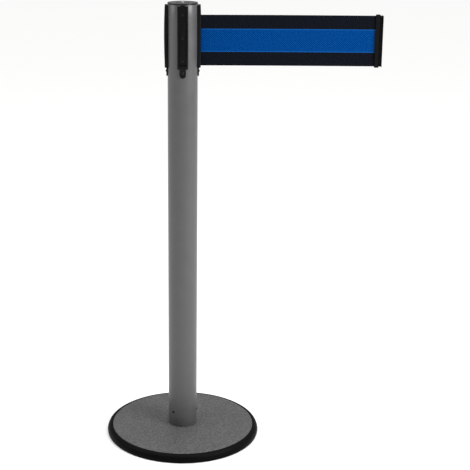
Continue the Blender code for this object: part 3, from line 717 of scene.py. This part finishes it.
class Assembly:
    """A group of pieces that ride on bodies of the frame."""

    def __init__(self, paintshop: Paintshop) -> None:
        """Keep the paintshop that dresses the pieces."""
        self.paint = paintshop

    def settle(
        self, obj: bpy.types.Object, body: str, slot: str, nodes: Sequence[str] = ()
    ) -> bpy.types.Object:
        """Hang a piece on its body and hide the nodes it stands for.

        Args:
            obj: the piece.
            body: the body that it rides on.
            slot: its material slot; not used.
            nodes: the CAD nodes that it stands for.

        Returns:
            The same piece.
        """
        if nodes:
            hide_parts(*nodes)
        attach(obj, body)
        return obj

    def turned(
        self,
        name: str,
        corners: Sequence[Corner],
        slot: str,
        nodes: Sequence[str],
        segments: int = 256,
        steps: int = 6,
        body: str = "post",
    ) -> bpy.types.Object:
        """Make a turned piece from the corners of its profile.

        Args:
            name: the piece's name.
            corners: (radius, height, tangent length) of each corner, in millimetres.
            slot: its material slot.
            nodes: the CAD nodes that it stands for.
            segments: steps round the axis.
            steps: points on each rounded corner.
            body: the body that it rides on.

        Returns:
            The piece.
        """
        profile = filleted(in_metres(corners), steps)
        points, faces = turn_profile(profile, segments)
        obj = make_piece(name, points, faces, self.paint.get(slot))
        return self.settle(obj, body, slot, nodes)


@dataclass
class BaseSizes:
    """Sizes of the base, in millimetres."""

    ring_radius: float = 162.0
    cover_radius: float = 150.4
    cover_height: float = 18.7
    sheet: float = 1.2


class Base(Assembly):
    """The rubber ring and the hammered cover."""

    sizes = BaseSizes()

    def ring_corners(self) -> list[Corner]:
        """The bumper's section: a soft outer bulge over a flat foot.

        Returns:
            (radius, height, tangent length) of each corner, in millimetres.
        """
        edge, top = self.sizes.ring_radius, self.sizes.cover_height
        seat, bore = self.sizes.cover_radius + 0.3, edge - 13.1
        return [
            (seat, top - 1.5, 0.4),
            (edge - 8.0, top - 1.4, 1.5),
            (edge - 2.9, top - 4.6, 3.0),
            (edge + 0.15, top - 12.6, 2.8),
            (edge - 1.6, 0.0, 1.3),
            (bore, 0.0, 0.2),
            (bore, top - 5.8, 0.0),
            (seat, top - 5.8, 0.0),
        ]

    def cover_corners(self) -> list[Corner]:
        """The cover's section: a nearly flat pressing with a rolled rim.

        Returns:
            (radius, height, tangent length) of each corner, in millimetres.
        """
        rim, top, sheet = self.sizes.cover_radius, self.sizes.cover_height, self.sizes.sheet
        return [
            (5.3, top, 0.0),
            (60.0, top - 0.1, 8.0),
            (110.0, top - 0.4, 8.0),
            (rim, top - 1.0, 1.7),
            (rim, top - 5.5, 0.0),
            (rim - sheet, top - 5.5, 0.0),
            (rim - sheet, top - 1.2 - sheet, 0.5),
            (110.0, top - 0.5 - sheet, 0.0),
            (5.3, top - sheet, 0.0),
        ]

    def build(self) -> None:
        """Make both pieces."""
        self.turned("bumper_ring", self.ring_corners(), "rubber", ["base_ring"])
        self.turned("hammered_cover", self.cover_corners(), "hammered_grey", ["base_cover"])


# ---------------------------------------------------------------- post and cap
@dataclass(frozen=True)
class Opening:
    """A slot or round hole through the tube, in metres and radians.

    A slot is a hole whose half width stays the same from its centre upwards.
    """

    azimuth: float
    centre: float
    half: float
    open_top: bool = False

    def half_width(self, height: Array) -> Array:
        """Half the opening's width at each height: sqrt(half^2 - (z - centre)^2).

        Above the centre of a slot it stays at half.

        Args:
            height: heights, in metres.

        Returns:
            The half widths, 0 where the opening is shut.
        """
        offset = height - self.centre
        if self.open_top:
            offset = np.minimum(offset, 0.0)
        return np.sqrt(np.maximum(self.half**2 - offset**2, 0.0))


@dataclass
class PostSizes:
    """Sizes of the tube, in metres."""

    radius: float = 0.0300
    bore: float = 0.0285
    low: float = 0.0190
    high: float = 0.9127
    slot_half: float = 0.0043
    slot_centre: float = 0.77675
    hole_half: float = 0.0030
    hole_height: float = 0.0502
    edge: float = 0.0002
    hole_degrees: tuple[float, ...] = (-131.4, -11.4, 108.6)
    columns: int = 34


class Post(Assembly):
    """The tube, the cap and the screws that show."""

    sizes = PostSizes()

    def openings(self) -> list[Opening]:
        """The four slots of the head and the three screw holes of the foot.

        Returns:
            The openings in order of azimuth.
        """
        sizes = self.sizes
        slots = [
            Opening(math.radians(a), sizes.slot_centre, sizes.slot_half, True)
            for a in (-90.0, 0.0, 90.0, 180.0)
        ]
        holes = [
            Opening(math.radians(a), sizes.hole_height, sizes.hole_half)
            for a in sizes.hole_degrees
        ]
        return sorted(slots + holes, key=lambda opening: opening.azimuth)

    def heights(self) -> Array:
        """Heights of the tube's rows, close together round the holes and the slots' ends.

        Returns:
            Rising heights, in metres.
        """
        sizes = self.sizes
        turn = np.cos(np.linspace(math.pi, 0.0, 17))
        around_holes = sizes.hole_height + sizes.hole_half * turn
        at_slots = sizes.slot_centre + sizes.slot_half * turn[:9]
        even = np.linspace(sizes.low + 0.0004, sizes.high - 0.0004, 40)
        near = np.abs(even - sizes.hole_height) < 1.5 * sizes.hole_half
        near |= np.abs(even - sizes.slot_centre) < 1.5 * sizes.slot_half
        return np.unique(np.concatenate([even[~near], around_holes, at_slots]).round(7))

    def tube(self) -> bpy.types.Object:
        """The tube, as sectors between its openings.

        At height z a sector runs from azimuth a0 + asin(w0(z) / R) to a1 - asin(w1(z) / R), where
        w is half the width of the opening at either side. Where both are closed, neighbouring
        sectors meet and their side walls are left out.

        Returns:
            The tube.
        """
        sizes = self.sizes
        height = self.heights()
        z = np.concatenate([[sizes.low], height, [sizes.high]])
        outer = np.full(len(z), sizes.radius)
        outer[[0, -1]] -= sizes.edge
        bore = np.full(len(z), sizes.bore)
        openings = self.openings()
        points, faces, base = [], [], 0
        for one, other in zip(openings, openings[1:] + openings[:1]):
            stop = other.azimuth + (TAU if other.azimuth <= one.azimuth else 0.0)
            wide = one.half_width(z), other.half_width(z)
            first = one.azimuth + np.arcsin(wide[0] / sizes.radius)
            last = stop - np.arcsin(wide[1] / sizes.radius)
            share = np.linspace(0.0, 1.0, sizes.columns)
            angle = first[:, None] + (last - first)[:, None] * share
            skin = [
                np.stack([r[:, None] * np.cos(angle), r[:, None] * np.sin(angle)], -1)
                for r in (outer, bore)
            ]
            ring = np.concatenate([skin[0], skin[1][:, ::-1]], axis=1)
            level = np.broadcast_to(z[:, None, None], ring.shape[:2] + (1,))
            points.append(np.concatenate([ring, level], -1).reshape(-1, 3))
            rows, count = ring.shape[:2]
            quads = grid_faces(rows, count, False, True)
            row, column = quads[:, 0] // count, quads[:, 0] % count
            open_first = (wide[0][row] + wide[0][row + 1]) > 1e-9
            open_last = (wide[1][row] + wide[1][row + 1]) > 1e-9
            keep = ~((column == count - 1) & ~open_first)
            keep &= ~((column == sizes.columns - 1) & ~open_last)
            faces.append(quads[keep] + base)
            j = np.arange(sizes.columns - 1)
            for start in (0, (rows - 1) * count):
                lid = [j, j + 1, count - 2 - j, count - 1 - j]
                faces.append(np.stack(lid, -1) + start + base)
            base += rows * count
        tube = make_piece(
            "painted_tube",
            np.concatenate(points),
            np.concatenate(faces),
            self.paint.get("grey_powder"),
            35.0,
        )
        return self.settle(tube, "post", "grey_powder", ["post_tube"])

    def cap(self) -> bpy.types.Object:
        """The cap: a turned shell whose rim is notched beside each rail.

        Within a notch's window of angle the rim's radius falls by the notch's depth, for points
        below its top.

        Returns:
            The cap.
        """
        top, under, edge = 916.5, 913.0, 30.2
        corners = [
            (2.6, top - 0.9, 0.0), (3.9, top - 0.9, 0.1), (4.2, top, 0.2), (14.9, top, 0.2),
            (15.8, top - 0.5, 0.3), (edge, top - 0.8, 1.1), (edge, under, 0.15),
            (28.2, under, 0.0), (28.2, under - 4.0, 0.2), (26.4, under - 4.0, 0.2),
            (26.4, under + 0.5, 0.2), (8.0, under + 0.5, 0.2), (7.4, 907.2, 0.2),
            (2.6, 907.2, 0.2),
        ]
        profile = filleted(in_metres(corners), 6)
        half = 1.1 / 30.0
        slight = 0.0004
        middles = [k * math.pi / 2 + s * math.radians(28.0) for k in range(4) for s in (-1, 1)]
        edges = [m + s * (half + e) for m in middles for s in (-1, 1) for e in (0.0, slight)]
        angle = np.unique(np.mod(np.concatenate([np.linspace(0, TAU, 241)[:-1], edges]), TAU))
        inside = np.zeros(len(angle), bool)
        for middle in middles:
            inside |= np.abs(np.mod(angle - middle + math.pi, TAU) - math.pi) < half + slight / 2
        radius = np.broadcast_to(profile[:, :1], (len(profile), len(angle))).copy()
        low = (profile[:, 1] < (under + 1.2) * MM) & (profile[:, 1] > (under - 0.5) * MM)
        rim = low & (profile[:, 0] > 0.0290)
        radius[np.ix_(rim, inside)] -= 1.2 * MM
        points = np.stack(
            [radius * np.cos(angle), radius * np.sin(angle),
             np.broadcast_to(profile[:, 1:], radius.shape)], -1
        ).reshape(-1, 3)
        faces = grid_faces(len(profile), len(angle), True, True)
        cap = make_piece("enamelled_cap", points, faces, self.paint.get("grey_gloss"), 35.0)
        return self.settle(cap, "post", "grey_gloss", ["head_cap"])

    def screw(
        self,
        name: str,
        corners: Sequence[Corner],
        slot: str,
        node: str,
        recess: float,
        azimuth: Optional[float] = None,
        height: float = 0.0,
    ) -> bpy.types.Object:
        """Make a screw with a six-lobed recess, upright or along a radius.

        Args:
            name: the piece's name.
            corners: its profile as (radius, height, tangent length), in millimetres.
            slot: its material slot.
            node: the node that it stands for.
            recess: radius of the recess, in millimetres.
            azimuth: direction of the radius that it lies along, or None for an upright one.
            height: height of that radius, in metres.

        Returns:
            The screw.
        """
        profile = filleted(in_metres(corners), 4)
        points, faces = turn_profile(profile, 48)
        low = points[:, 2] > (corners[0][1] - 0.05) * MM
        shaped = lobed(points, 6, 0.30, (recess + 0.05) * MM)
        points = np.where(low[:, None], shaped, points)
        if azimuth is not None:
            points = laid_out(points, azimuth, height)
        obj = make_piece(name, points, faces, self.paint.get(slot), 35.0)
        return self.settle(obj, "post", slot, [node])

    def screws(self) -> None:
        """The cap's bright screw, nine rail screws, three set screws and four tongue screws."""
        head = 915.9
        self.screw(
            "bright_cap_screw",
            [(0.0, head + 0.3, 0.0), (1.35, head + 0.3, 0.1), (1.35, head + 1.55, 0.1),
             (2.4, head + 1.45, 0.5), (3.6, head + 0.8, 0.5), (3.6, head, 0.0),
             (2.2, head, 0.0), (2.2, 905.5, 0.0), (0.0, 905.5, 0.0)],
            "bright_steel", "cap_screw", 1.35,
        )
        sides = {"front": -math.pi / 2, "left": math.pi, "back": math.pi / 2}
        for side, azimuth in sides.items():
            for number, level in enumerate((0.894, 0.849, 0.804), 1):
                self.screw(
                    f"rail_flat_screw_{side}_{number}",
                    [(0.0, 30.5, 0.0), (1.1, 30.5, 0.1), (1.1, 31.35, 0.05), (2.6, 31.4, 0.1),
                     (2.6, 31.15, 0.0), (1.4, 29.95, 0.1), (1.4, 25.0, 0.0), (0.0, 25.0, 0.0)],
                    "black_steel", f"rail_screw_{side}_{number}", 1.1, azimuth, level,
                )
        for number, degrees in enumerate(self.sizes.hole_degrees, 1):
            self.screw(
                f"foot_set_screw_{number}",
                [(0.0, 29.0, 0.0), (1.5, 29.0, 0.1), (1.5, 30.45, 0.1), (2.75, 30.35, 0.35),
                 (2.75, 21.0, 0.3), (0.0, 21.0, 0.0)],
                "black_steel", f"foot_screw_{number}", 1.5,
                math.radians(degrees), self.sizes.hole_height,
            )
        for side, azimuth in {**sides, "outlet": 0.0}.items():
            self.screw(
                f"tongue_pan_screw_{side}",
                [(0.0, 33.0, 0.0), (1.0, 33.0, 0.1), (1.0, 33.85, 0.05), (1.5, 33.8, 0.3),
                 (2.5, 33.2, 0.3), (2.5, 32.8, 0.0), (1.4, 32.8, 0.0), (1.4, 25.2, 0.0),
                 (0.0, 25.2, 0.0)],
                "black_steel", f"tongue_screw_{side}", 1.0, azimuth, 0.781,
            )

    def build(self) -> None:
        """Make the tube, the cap and the screws."""
        self.tube()
        self.cap()
        self.screws()


# ---------------------------------------------------------------- moulded pieces
class Mouldings(Assembly):
    """Rails and belt end: merged copies of the CAD shapes with their edges rounded."""

    def __init__(self, paintshop: Paintshop, nodes: Mapping[str, bpy.types.Object]) -> None:
        """Keep the paintshop and the CAD nodes."""
        super().__init__(paintshop)
        self.nodes = nodes

    def rounded_copy(self, node: str, name: str, slot: str, body: str, edge_mm: float) -> None:
        """Copy a node, merge its loose triangles, and round its edges.

        Args:
            node: the CAD node.
            name: the new piece's name.
            slot: its material slot.
            body: the body that it rides on.
            edge_mm: radius given to the sharp edges.
        """
        source = self.nodes[node]
        mesh = source.data.copy()
        mesh.transform(source.matrix_world)
        shape = bmesh.new()
        shape.from_mesh(mesh)
        bmesh.ops.remove_doubles(shape, verts=shape.verts, dist=2e-6)
        bmesh.ops.dissolve_degenerate(shape, edges=shape.edges, dist=2e-6)
        bmesh.ops.dissolve_limit(
            shape, angle_limit=math.radians(1.0), verts=shape.verts, edges=shape.edges
        )
        bmesh.ops.recalc_face_normals(shape, faces=shape.faces)
        shape.to_mesh(mesh)
        shape.free()
        mesh.name = name
        mesh.materials.clear()
        mesh.materials.append(self.paint.get(slot))
        mesh.shade_smooth()
        mesh.set_sharp_from_angle(angle=math.radians(35.0))
        obj = bpy.data.objects.new(name, mesh)
        bpy.context.scene.collection.objects.link(obj)
        if edge_mm > 0.0:
            bevel = obj.modifiers.new("edge", "BEVEL")
            bevel.width = edge_mm * MM
            bevel.segments = 2
            bevel.limit_method = "ANGLE"
            bevel.angle_limit = math.radians(40.0)
            bevel.use_clamp_overlap = True
            bevel.harden_normals = True
        self.settle(obj, body, slot, [node])
        LOG.info("%s: %d faces before its edges are rounded", name, len(mesh.polygons))

    def build(self) -> None:
        """Make the four rails and the belt end."""
        for side in ("front", "left", "back", "outlet"):
            self.rounded_copy(f"rail_{side}", f"moulded_rail_{side}", "black_nylon", "post", 0.25)
        self.rounded_copy("clip_body", "moulded_belt_end", "black_nylon", "belt_end", 0.35)


# ---------------------------------------------------------------- belt
@dataclass
class BeltSizes:
    """Sizes of the webbing, in metres."""

    width: float = 0.1000
    thickness: float = 0.0007
    start_x: float = 0.0342
    end_x: float = 0.3797
    tail: float = 0.0024
    drop: float = 0.0020
    middle_z: float = 0.8415
    travel: float = 0.3400
    roll_radius: float = 0.0215
    hub_radius: float = 0.0083
    rows: int = 40
    roll_rows: int = 6


class Belt(Assembly):
    """The webbing: wound, led out and stretched."""

    sizes = BeltSizes()

    def strip(
        self,
        name: str,
        path: Array,
        rows: int,
        drop: Optional[Callable[[Array], Array]] = None,
    ) -> bpy.types.Object:
        """Carry the belt's section along a path in plan.

        A point at distance s along the path and height v is path(s) plus or minus half the
        thickness along the path's normal, and z = middle + v - drop(x).

        Args:
            name: the piece's name.
            path: (x, y) points in plan.
            rows: points across each face.
            drop: how far the belt hangs at each x, or None.

        Returns:
            The strip.
        """
        sizes = self.sizes
        tangent = np.gradient(path, axis=0)
        tangent /= np.linalg.norm(tangent, axis=1, keepdims=True)
        normal = np.stack([-tangent[:, 1], tangent[:, 0]], -1)
        step = np.linalg.norm(np.diff(path, axis=0), axis=1)
        along = np.concatenate([[0.0], np.cumsum(step)])
        edge = 0.5 * sizes.thickness
        half = sizes.width / 2
        across = np.linspace(-half + edge, half - edge, rows)
        bend = np.linspace(0.0, math.pi, 5)
        v = np.concatenate([across, half - edge + edge * np.sin(bend[1:-1]), across[::-1]])
        v = np.concatenate([v, -half + edge - edge * np.sin(bend[1:-1])])
        side = np.concatenate([np.ones(rows), np.cos(bend[1:-1])])
        side = np.concatenate([side, -np.ones(rows), -np.cos(bend[1:-1])]) * edge
        x = path[:, 0, None] + normal[:, 0, None] * side
        y = path[:, 1, None] + normal[:, 1, None] * side
        fall = drop(path[:, 0]) if drop else np.zeros(len(path))
        z = sizes.middle_z + v[None, :] - fall[:, None]
        points = np.stack([x, y, z], -1).reshape(-1, 3)
        count = len(v)
        faces = list(grid_faces(len(path), count, False, True))
        last = (len(path) - 1) * count
        faces += [list(range(count))[::-1], list(range(last, last + count))]
        weave = np.stack([np.repeat(along, count), np.tile(v, len(path))], -1)
        return make_piece(name, points, faces, self.paint.get("webbing"), 60.0, weave)

    def fall(self, x: Array) -> Array:
        """How far the belt hangs below the outlet's line: drop * (share of the length)^1.5.

        Args:
            x: distances from the post's axis, in metres.

        Returns:
            The fall at each, in metres.
        """
        sizes = self.sizes
        share = np.clip((x - sizes.start_x) / (sizes.end_x - sizes.start_x), 0.0, None)
        return sizes.drop * share**1.5

    def build_run(self) -> None:
        """The stretch that shows."""
        sizes = self.sizes
        x = np.linspace(sizes.start_x, sizes.end_x + sizes.tail, 120)
        run = self.strip("webbing_run", np.stack([x, 0.0 * x], -1), sizes.rows, self.fall)
        self.settle(run, "post", "webbing", ["belt_run"])
        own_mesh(run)

    def build_lead(self) -> None:
        """The stretch from the roll to the outlet: a tangent, then a bend into the throat."""
        sizes = self.sizes
        radius = sizes.roll_radius + 0.0003 + sizes.thickness / 2
        meet = 0.0273
        angle = math.acos(radius / meet)
        start = np.array([radius * math.cos(angle), radius * math.sin(angle)])
        corners = [(*start, 0.0), (meet, 0.0, 0.0022), (sizes.start_x - 0.0003, 0.0, 0.0)]
        path = filleted(corners, 12)
        lead = self.strip("webbing_lead", path, sizes.rows)
        self.settle(lead, "post", "webbing", ["belt_lead"])

    def build_roll(self) -> None:
        """The wound belt: a spiral of even pitch, r = hub + pitch * turns."""
        sizes = self.sizes
        turns = 14.0
        share = np.linspace(0.0, 1.0, int(turns * 40))
        reach = sizes.roll_radius - sizes.thickness / 2 - sizes.hub_radius - sizes.thickness / 2
        radius = sizes.hub_radius + sizes.thickness / 2 + reach * share
        angle = share * turns * TAU
        path = np.stack([radius * np.cos(angle), radius * np.sin(angle)], -1)
        roll = self.strip("webbing_roll", path, sizes.roll_rows)
        self.settle(roll, "spool", "webbing", ["belt_roll"])

    def build(self) -> None:
        """Make the three stretches."""
        self.build_run()
        self.build_lead()
        self.build_roll()


# ---------------------------------------------------------------- carried-over parts
class CarriedParts:
    """CAD nodes whose shape is right and that only take a finish."""

    def __init__(self, frame: dict[str, Any], paintshop: Paintshop) -> None:
        """Keep the nodes and read each one's slot from the record.

        Args:
            paintshop: makes the finishes.
        """
        self.nodes = frame["nodes"]
        self.slots = {p["node"]: p["material_slot"] for p in frame["record"]["subparts"]}
        self.paint = paintshop

    def dress(self) -> None:
        """Give every node that still shows its finish."""
        for name, obj in sorted(self.nodes.items()):
            if obj.hide_render:
                continue
            slot = self.slots[name]
            obj.data.materials.clear()
            obj.data.materials.append(self.paint.get(slot))
            LOG.info("%s takes %s", name, slot)


# ---------------------------------------------------------------- studio
@dataclass
class Softbox:
    """A square area light: where it hangs, what it faces, its size, power and tint."""

    name: str
    place: tuple[float, float, float]
    target: tuple[float, float, float]
    size: float
    power: float
    tint: str = "FFFFFF"


@dataclass
class Studio:
    """Pale floor, soft light and the camera."""

    floor_tint: str = "F6F6F5"
    floor_reach: float = 15.0
    floor_drop: float = 0.0002
    world_tint: str = "FFFFFF"
    world_strength: float = 0.40
    lens: float = 94.3
    camera_place: tuple[float, float, float] = (0.0, -2.433, 1.185)
    pitch_degrees: float = 16.6
    skylight: float = 2.05
    skylight_spread: float = 70.0
    shift_x: float = 0.1113
    shift_y: float = -0.02
    boxes: list[Softbox] = field(
        default_factory=lambda: [
            Softbox("key", (1.9, -1.2, 1.6), (0.0, 0.0, 0.85), 1.2, 60.0),
            Softbox("rim", (-2.0, -0.3, 1.4), (0.0, 0.0, 0.8), 1.2, 14.0),
        ]
    )

    def build_floor(self, paint: bpy.types.Material) -> None:
        """Lay a flat pale sheet far wider than the view, just under the object's foot.

        Args:
            paint: the floor's material.
        """
        reach, drop = self.floor_reach, self.floor_drop
        corners = [[-reach, -reach], [reach, -reach], [reach, reach], [-reach, reach]]
        points = np.array([[x, y, -drop] for x, y in corners])
        floor = make_piece("floor", points, [[0, 1, 2, 3]], paint)

    def floor_paint(self) -> bpy.types.Material:
        """Seamless paper: matt and nearly white.

        Returns:
            The floor's material.
        """
        material = bpy.data.materials.new("seamless_paper")
        material.use_nodes = True
        shader = material.node_tree.nodes["Principled BSDF"]
        shader.inputs["Base Color"].default_value = linear(self.floor_tint)
        shader.inputs["Roughness"].default_value = 0.9
        return material

    def build_world(self) -> None:
        """An even white surround."""
        world = bpy.data.worlds.new("studio")
        world.use_nodes = True
        sky = world.node_tree.nodes["Background"]
        sky.inputs["Color"].default_value = linear(self.world_tint)
        sky.inputs["Strength"].default_value = self.world_strength
        bpy.context.scene.world = world

    def build_lights(self) -> None:
        """Hang each softbox and turn it to its target, under one wide even light from above."""
        for box in self.boxes:
            light = bpy.data.lights.new(box.name, "AREA")
            light.size = box.size
            light.energy = box.power
            light.color = linear(box.tint)[:3]
            holder = bpy.data.objects.new(box.name, light)
            bpy.context.scene.collection.objects.link(holder)
            holder.location = box.place
            aim = Vector(box.target) - Vector(box.place)
            holder.rotation_euler = aim.to_track_quat("-Z", "Y").to_euler()
        sky = bpy.data.lights.new("skylight", "SUN")
        sky.energy = self.skylight
        sky.angle = math.radians(self.skylight_spread)
        bpy.context.scene.collection.objects.link(bpy.data.objects.new("skylight", sky))

    def build_camera(self) -> None:
        """In front of the post, above its head, tipped down."""
        camera = bpy.data.cameras.new("camera")
        camera.lens = self.lens
        camera.sensor_width = 36.0
        camera.shift_x = self.shift_x
        camera.shift_y = self.shift_y
        holder = bpy.data.objects.new("camera", camera)
        bpy.context.scene.collection.objects.link(holder)
        holder.location = self.camera_place
        holder.rotation_euler = (math.radians(90.0 - self.pitch_degrees), 0.0, 0.0)
        bpy.context.scene.camera = holder

    def build(self) -> None:
        """Set up floor, light and camera."""
        self.build_floor(self.floor_paint())
        self.build_world()
        self.build_lights()
        self.build_camera()
        bpy.context.scene.view_settings.view_transform = "Standard"


def main() -> None:
    """Build the whole scene."""
    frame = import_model()
    paintshop = Paintshop()
    mouldings = Mouldings(paintshop, frame["nodes"])
    for assembly in (Base(paintshop), Post(paintshop), mouldings, Belt(paintshop)):
        LOG.info("building %s", type(assembly).__name__)
        assembly.build()
    CarriedParts(frame, paintshop).dress()
    Studio().build()


if __name__ == "__main__":
    main()
